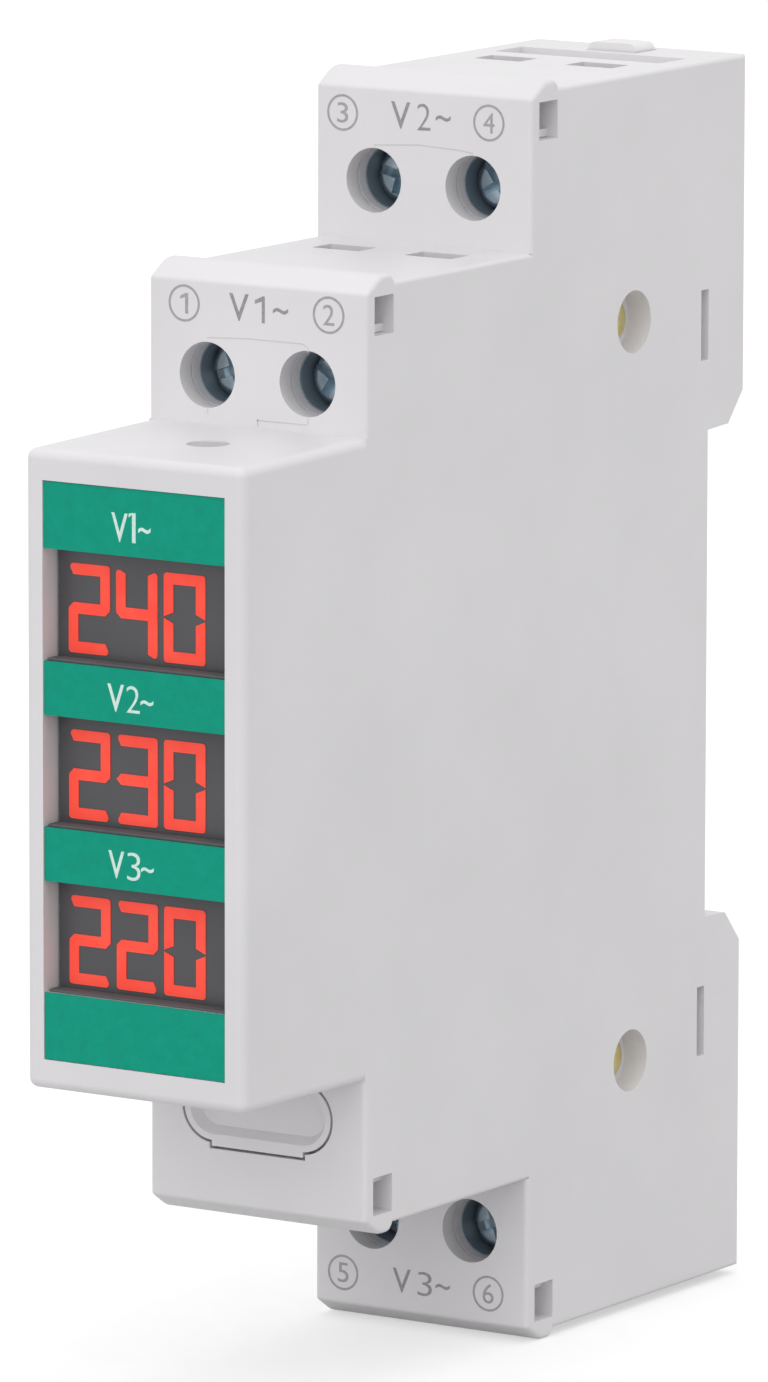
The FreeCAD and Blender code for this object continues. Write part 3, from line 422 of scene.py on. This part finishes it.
for part in frame["record"]["subparts"]:
    guard = part["node"].startswith("guard_")
    for holder in nodes[part["node"]].material_slots:
        holder.material = GUARD_PAINTED_SHADE if guard else FINISHES[part["material_slot"]]

# Mid grey for the phase marks, a thinner grey for the numbers, and a white that lets some green through
GREY_INK = pad_printed_ink("grey_pad_ink", "9C999C", "8C898C", 0.6)
THIN_INK = pad_printed_ink("thin_grey_pad_ink", "AAA7AA", "9B989B", 0.6)
WHITE_INK = pad_printed_ink("white_pad_ink", "C3E4D8", "DFF1EA", 0.5)

# The case's plastic made darker for the hairlines on the caps, which are painted shade
PAINTED_SHADE_LINE_FINISH = moulded_plastic("painted_shade_line_polycarbonate", "C4C1C2", "CCCACB", 0.22, 0.5, 0.2)
# The case's plastic made darker for the dimple in the top of the nose, as painted shade
DIMPLE_PAINTED_SHADE = moulded_plastic("dimple_painted_shade_polycarbonate", "B4B2B6", "BDBBBF", 0.22, 0.45, 0.3)

# Foam cut from a sheet: dark grey and dull, its cell walls a coarse strong grain
FOAM = moulded_plastic("closed_cell_foam", "565759", "5E5F61", 0.3, 0.85, 0.8, ior=1.5)


# Pieces

def new_object(name, data):
    """An object in the scene that shows this mesh, lamp, camera or line of type."""
    holder = bpy.data.objects.new(name, data)
    bpy.context.scene.collection.objects.link(holder)
    return holder


def to_mesh(name, shape):
    """A drawing as a mesh."""
    mesh = bpy.data.meshes.new(name)
    shape.to_mesh(mesh)
    shape.free()
    return mesh


def add_piece(name, mesh, material):
    """A mesh that already stands in its place, as a piece that rides on the case."""
    piece = new_object(name, mesh)
    piece.data.materials.append(material)
    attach(piece, "case")
    return piece


def new_corners(made):
    """The corners among all that an extrusion made."""
    return [item for item in made["geom"] if isinstance(item, bmesh.types.BMVert)]


def thicken(shape, step):
    """Draws a flat drawing out by step, into a closed solid."""
    made = bmesh.ops.extrude_face_region(shape, geom=shape.faces[:], use_keep_orig=True)
    bmesh.ops.translate(shape, vec=step, verts=new_corners(made))
    bmesh.ops.recalc_face_normals(shape, faces=shape.faces[:])


# Print on the case and the labels

def stand_print(name, mesh, face, material):
    """Stands a flat drawing with its thickness upright on the face at this y, as a piece of its own."""
    mesh.transform(Matrix.Translation((0, face + INK_SINK, 0)) @ Matrix.Rotation(QUARTER_TURN, 4, "X"))
    add_piece(name, mesh, material)


def type_mesh(name, letter, weight):
    """One letter of a plain sans face, as a mesh."""
    curve = bpy.data.curves.new(name, "FONT")
    curve.body = letter
    curve.extrude = INK
    curve.offset = weight
    holder = new_object(name + "_type", curve)
    mesh = bpy.data.meshes.new_from_object(holder.evaluated_get(bpy.context.evaluated_depsgraph_get()))
    bpy.data.objects.remove(holder)
    shape = bmesh.new()
    shape.from_mesh(mesh)
    bmesh.ops.remove_doubles(shape, verts=shape.verts[:], dist=INK_MERGE)
    bmesh.ops.recalc_face_normals(shape, faces=shape.faces[:])
    shape.to_mesh(mesh)
    shape.free()
    return mesh


def figure_one(name, stem, drop):
    """The figure 1 in a unit square: where its stem begins, and how far its flag hangs down."""
    shape = bmesh.new()
    stem_corners = ((stem, 0), (1, 0), (1, 1), (stem + ONE_CUT, 1))
    flag_corners = ((0, 1 - drop), (0, ONE_TIP - drop), (stem, ONE_ROOT - drop))
    shape.faces.new([shape.verts.new((x, y, 0)) for x, y in stem_corners + flag_corners])
    thicken(shape, (0, 0, INK))
    return to_mesh(name, shape)


def printed(name, letter, box, face, ink, slot, stem, drop, weight=0.0):
    """A letter stretched into a box (x from, x to, z from, z to) in millimetres, on the face at this y."""
    mesh = figure_one(name, stem, drop) if letter == "1" else type_mesh(name, letter, weight)
    across = [v.co.x for v in mesh.vertices]
    upright = [v.co.y for v in mesh.vertices]
    left, right, bottom, top = [edge * MM for edge in box]
    wide = (right - left) / (max(across) - min(across))
    tall = (top - bottom) / (max(upright) - min(upright))
    mesh.transform(Matrix.Translation((left - min(across) * wide, bottom - min(upright) * tall, 0))
                   @ Matrix.Diagonal((wide, tall, 1, 1)))
    stand_print(name, mesh, face, ink)


def printed_ring(name, x, z, face):
    """The thin circle round a terminal's number, x and z in millimetres."""
    shape = bmesh.new()
    bmesh.ops.create_circle(shape, segments=RING_SIDES, radius=RING_RADIUS)
    made = bmesh.ops.extrude_edge_only(shape, edges=shape.edges[:])
    shrink = 1 - RING_STROKE / RING_RADIUS
    bmesh.ops.scale(shape, vec=(shrink, shrink, 1), verts=new_corners(made))
    bmesh.ops.translate(shape, vec=(x * MM, z * MM, 0), verts=shape.verts[:])
    thicken(shape, (0, 0, INK))
    stand_print(name, to_mesh(name, shape), face, THIN_INK)


def phase_mark(name, figure, boxes, face, weights, style):
    """A phase mark such as V1~: its letter, its figure and its wave, each in a box of its own."""
    for part, sign, box, weight in zip(("letter", "figure", "wave"), ("V", figure, "~"), boxes, weights):
        printed(name + "_" + part, sign, box, face, weight=weight, **style)


def painted_shade_line(name, points, face):
    """A darker hairline of painted shade on a cap, from point to point, each (x, z) in millimetres."""
    shape = bmesh.new()
    corners = [shape.verts.new((x * MM, z * MM, 0)) for x, z in points]
    runs = [shape.edges.new(pair) for pair in zip(corners, corners[1:])]
    made = bmesh.ops.extrude_edge_only(shape, edges=runs)
    upright = abs(points[0][0] - points[-1][0]) < abs(points[0][1] - points[-1][1])
    step = (HAIRLINE, 0, 0) if upright else (0, HAIRLINE, 0)
    bmesh.ops.translate(shape, vec=step, verts=new_corners(made))
    thicken(shape, (0, 0, INK))
    stand_print(name, to_mesh(name, shape), face, PAINTED_SHADE_LINE_FINISH)


# Each kind of print: its ink, its material slot, and the form of its figure 1
TERMINAL_PRINT = {"ink": THIN_INK, "slot": "case_plastic", "stem": 0.62, "drop": 0.17}
CASE_PRINT = {"ink": GREY_INK, "slot": "case_plastic", "stem": 0.7, "drop": 0.17}
LABEL_PRINT = {"ink": WHITE_INK, "slot": "label_green", "stem": 0.48, "drop": 0.03}

# Centre of each terminal's number and its ring, and the face they are on
TERMINAL_NUMBERS = {
    "1": (-6.06, 30.76, FRONT_TIER_FACE),
    "2": (5.89, 30.80, FRONT_TIER_FACE),
    "3": (-6.77, 41.93, REAR_TIER_FACE),
    "4": (5.46, 41.98, REAR_TIER_FACE),
    "5": (-6.60, -41.63, REAR_TIER_FACE),
    "6": (5.73, -41.68, REAR_TIER_FACE),
}
for number, (x, z, face) in TERMINAL_NUMBERS.items():
    half_wide = NUMBER_ONE_HALF_WIDE if number == "1" else NUMBER_HALF_WIDE
    box = (x - half_wide, x + half_wide, z - NUMBER_HALF_TALL, z + NUMBER_HALF_TALL)
    printed_ring("ring_" + number, x, z, face)
    printed("number_" + number, number, box, face, **TERMINAL_PRINT)

# The phase marks on the case: the face, then the boxes of the letter, the figure and the wave
PHASE_MARKS = {
    "V1": (FRONT_TIER_FACE, (-2.32, -0.70, 29.84, 31.75), (-0.19, 0.63, 29.84, 31.70),
           (1.30, 2.56, 30.57, 30.99)),
    "V2": (REAR_TIER_FACE, (-2.70, -1.09, 41.09, 43.00), (-0.51, 0.60, 41.09, 42.98),
           (1.03, 2.29, 41.84, 42.26)),
    "V3": (REAR_TIER_FACE, (-2.36, -0.82, -42.50, -40.75), (-0.25, 0.97, -42.52, -40.78),
           (1.27, 2.50, -41.85, -41.47)),
}
for mark, (face, *boxes) in PHASE_MARKS.items():
    phase_mark(mark, mark[1], boxes, face, CASE_WEIGHTS, CASE_PRINT)

# The boxes of the white marks on the green labels
LABEL_MARKS = {
    "V1": ((-1.84, -0.5, 16.4, 18.4), (-0.42, 0.15, 16.42, 18.48), (0.36, 1.38, 17.13, 17.56)),
    "V2": ((-2.20, -0.83, 4.65, 6.57), (-0.64, 0.47, 4.67, 6.55), (0.53, 1.59, 5.29, 5.68)),
    "V3": ((-2.14, -0.83, -6.90, -4.98), (-0.60, 0.50, -6.92, -4.98), (0.55, 1.60, -6.26, -5.87)),
}
for mark, boxes in LABEL_MARKS.items():
    phase_mark("label_" + mark, mark[1], boxes, NOSE_FACE, LABEL_WEIGHTS, LABEL_PRINT)

# The hairlines of painted shade on the caps: the face, then the points of each line
PAINTED_SHADE_LINES = {
    "v1_top": (FRONT_TIER_FACE, [(-4.15, 28.45), (-0.8, 28.62), (3.7, 28.6), (4.15, 28.4)]),
    "v1_right_tick": (FRONT_TIER_FACE, [(4.15, 28.4), (4.15, 28.1)]),
    "v1_left_foot": (FRONT_TIER_FACE, [(-4.15, 23.55), (-4.15, 23.2)]),
    "v1_right_foot": (FRONT_TIER_FACE, [(4.15, 23.5), (4.15, 23.1)]),
    "v1_middle_foot": (FRONT_TIER_FACE, [(0, 23.1), (0, 22.6)]),
    "v1_low": (FRONT_TIER_FACE, [(0, 23.0), (4.15, 23.0)]),
    "v2_top": (REAR_TIER_FACE, [(-4.15, 39.75), (-0.4, 40.0), (3.0, 39.85), (4.15, 39.7)]),
}
for place, (face, points) in PAINTED_SHADE_LINES.items():
    painted_shade_line("painted_shade_" + place, points, face)


# Small pieces

def foam_strip(name, display):
    """The grey strip that closes the gap under a display; its upper front edge is rounded."""
    low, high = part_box(display)
    front = NOSE_FACE + STRIP_FRONT
    start = Vector((low.x, front, low.z - DISPLAY_GAP + STRIP_PLAY))
    size = Vector((high.x - low.x, low.y + STRIP_TUCK - front, DISPLAY_GAP - 2 * STRIP_PLAY))
    shape = bmesh.new()
    bmesh.ops.create_cube(shape, size=1.0)
    bmesh.ops.scale(shape, vec=size, verts=shape.verts[:])
    bmesh.ops.translate(shape, vec=start + size / 2, verts=shape.verts[:])
    edges = [edge for edge in shape.edges if max(v.co.y for v in edge.verts) < front + STRIP_PLAY]
    edges = [edge for edge in edges if min(v.co.z for v in edge.verts) > start.z + STRIP_PLAY]
    bmesh.ops.bevel(shape, geom=edges, offset=STRIP_ROUND, segments=STRIP_ROUND_STEPS, profile=0.5,
                    affect="EDGES")
    add_piece(name, to_mesh(name, shape), FOAM)


def painted_shade_dimple():
    """A round disc in the top of the nose, dished in the middle, darker than the case as painted shade of a
    dimple.
    """
    shape = bmesh.new()
    bmesh.ops.create_circle(shape, segments=DIMPLE_SIDES, radius=DIMPLE_RADIUS, cap_ends=True)
    bmesh.ops.inset_region(shape, faces=shape.faces[:], thickness=DIMPLE_RIM)
    middle = max(shape.faces, key=lambda face: len(face.verts))
    bmesh.ops.translate(shape, vec=(0, 0, -DIMPLE_DISH), verts=middle.verts[:])
    thicken(shape, (0, 0, -DIMPLE_THICKNESS))
    bmesh.ops.translate(shape, vec=DIMPLE_PLACE, verts=shape.verts[:])
    add_piece("painted_shade_dimple", to_mesh("painted_shade_dimple", shape), DIMPLE_PAINTED_SHADE)


def cap_foot(name, cap, step, side):
    """Fills the rounded edge of the tier at a cap's foot; step is 1 for a cap that stands up from its tier and
    -1 for one that hangs below it, side is 1 right and -1 left."""
    low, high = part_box(cap)
    level = low.z if step > 0 else high.z
    centre = Vector((side * (high.x - FOOT_SIZE), low.y + FOOT_START, level - step * FOOT_SIZE))
    shape = bmesh.new()
    start = shape.verts.new(centre + Vector((side * FOOT_SIZE, 0, 0)))
    bmesh.ops.spin(shape, geom=[start], cent=centre, axis=(0, 1, 0), angle=-side * step * QUARTER_TURN,
                   steps=FOOT_ROUND_STEPS)
    corner = shape.verts.new(centre + Vector((side * FOOT_SIZE, 0, step * FOOT_SIZE)))
    shape.faces.new([corner] + [v for v in shape.verts if v is not corner])
    thicken(shape, (0, high.y - low.y - FOOT_START, 0))
    add_piece(name, to_mesh(name, shape), FINISHES["case_plastic"])


def coil_spring():
    """The clip's spring, wound from one wire, shown in place of the solid spring, which is hidden."""
    low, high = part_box("clip_spring")
    coil_radius = (high.x - low.x) / 2 - SPRING_WIRE
    rise = high.z - low.z - 2 * SPRING_WIRE
    steps = SPRING_TURNS * SPRING_TURN_STEPS
    section = Matrix.Translation((coil_radius, 0, SPRING_WIRE)) @ Matrix.Rotation(QUARTER_TURN, 4, "X")
    shape = bmesh.new()
    bmesh.ops.create_circle(shape, segments=WIRE_SIDES, radius=SPRING_WIRE, matrix=section)
    bmesh.ops.spin(shape, geom=shape.verts[:] + shape.edges[:], cent=(0, 0, 0), axis=(0, 0, 1),
                   dvec=(0, 0, rise / steps), angle=SPRING_TURNS * FULL_TURN, steps=steps)
    bmesh.ops.holes_fill(shape, edges=[edge for edge in shape.edges if edge.is_boundary])
    bmesh.ops.translate(shape, vec=((low.x + high.x) / 2, (low.y + high.y) / 2, low.z), verts=shape.verts[:])
    bmesh.ops.recalc_face_normals(shape, faces=shape.faces[:])
    for face in shape.faces:
        face.smooth = len(face.verts) == 4
    piece = add_piece("coil_spring", to_mesh("coil_spring", shape), FINISHES["spring_steel"])
    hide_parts("clip_spring")
    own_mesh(piece)


for display in ("v1", "v2", "v3"):
    foam_strip("foam_strip_" + display, "display_" + display)
for cap, step in (("cap_v2", 1), ("cap_v3", -1)):
    cap_foot(cap + "_foot_right", cap, step, 1)
    cap_foot(cap + "_foot_left", cap, step, -1)
painted_shade_dimple()
coil_spring()


# Studio

def studio():
    """A pale floor, a soft even sky, and two broad lamps: one high up, one low in front."""
    ground = bmesh.new()
    bmesh.ops.create_grid(ground, x_segments=2, y_segments=2, size=FLOOR_REACH)
    bmesh.ops.translate(ground, vec=(0, 0, cad_low.z), verts=ground.verts[:])
    floor = new_object("studio_floor", to_mesh("studio_floor", ground))
    floor.data.materials.append(painted_board())

    world = bpy.data.worlds.new("studio_sky")
    world.use_nodes = True
    world.node_tree.nodes.clear()
    sky = add(world.node_tree, "ShaderNodeBackground", {"Color": linear("FFFFFF"), "Strength": SKY_LIGHT})
    add(world.node_tree, "ShaderNodeOutputWorld", {"Surface": sky.outputs["Background"]})
    bpy.context.scene.world = world

    for name, (strength, stand) in LAMPS.items():
        lamp = bpy.data.lights.new(name, "SUN")
        lamp.energy = strength
        lamp.angle = LAMP_SPREAD
        new_object(name, lamp).rotation_euler = (-stand).to_track_quat("-Z", "Y").to_euler()


def photo_camera():
    """A long lens from the upper right, with a hair of tilt."""
    azimuth = math.radians(33.077)
    elevation = math.radians(9.48)
    tilt = 0.0019
    distance = 840.7 * MM
    target = Vector((-13.18, -8.48, -2.13)) * MM
    sight = bpy.data.cameras.new("photo_camera")
    sight.sensor_width = 36.0
    sight.lens = 302.1
    sight.clip_start = 0.01
    sight.clip_end = 20.0
    turn = (Matrix.Rotation(azimuth, 4, "Z") @ Matrix.Rotation(QUARTER_TURN - elevation, 4, "X")
            @ Matrix.Rotation(tilt, 4, "Z"))
    camera = new_object("photo_camera", sight)
    camera.matrix_world = Matrix.Translation(target) @ turn @ Matrix.Translation((0, 0, distance))
    bpy.context.scene.camera = camera


studio()
photo_camera()
bpy.context.scene.view_settings.view_transform = "Standard"
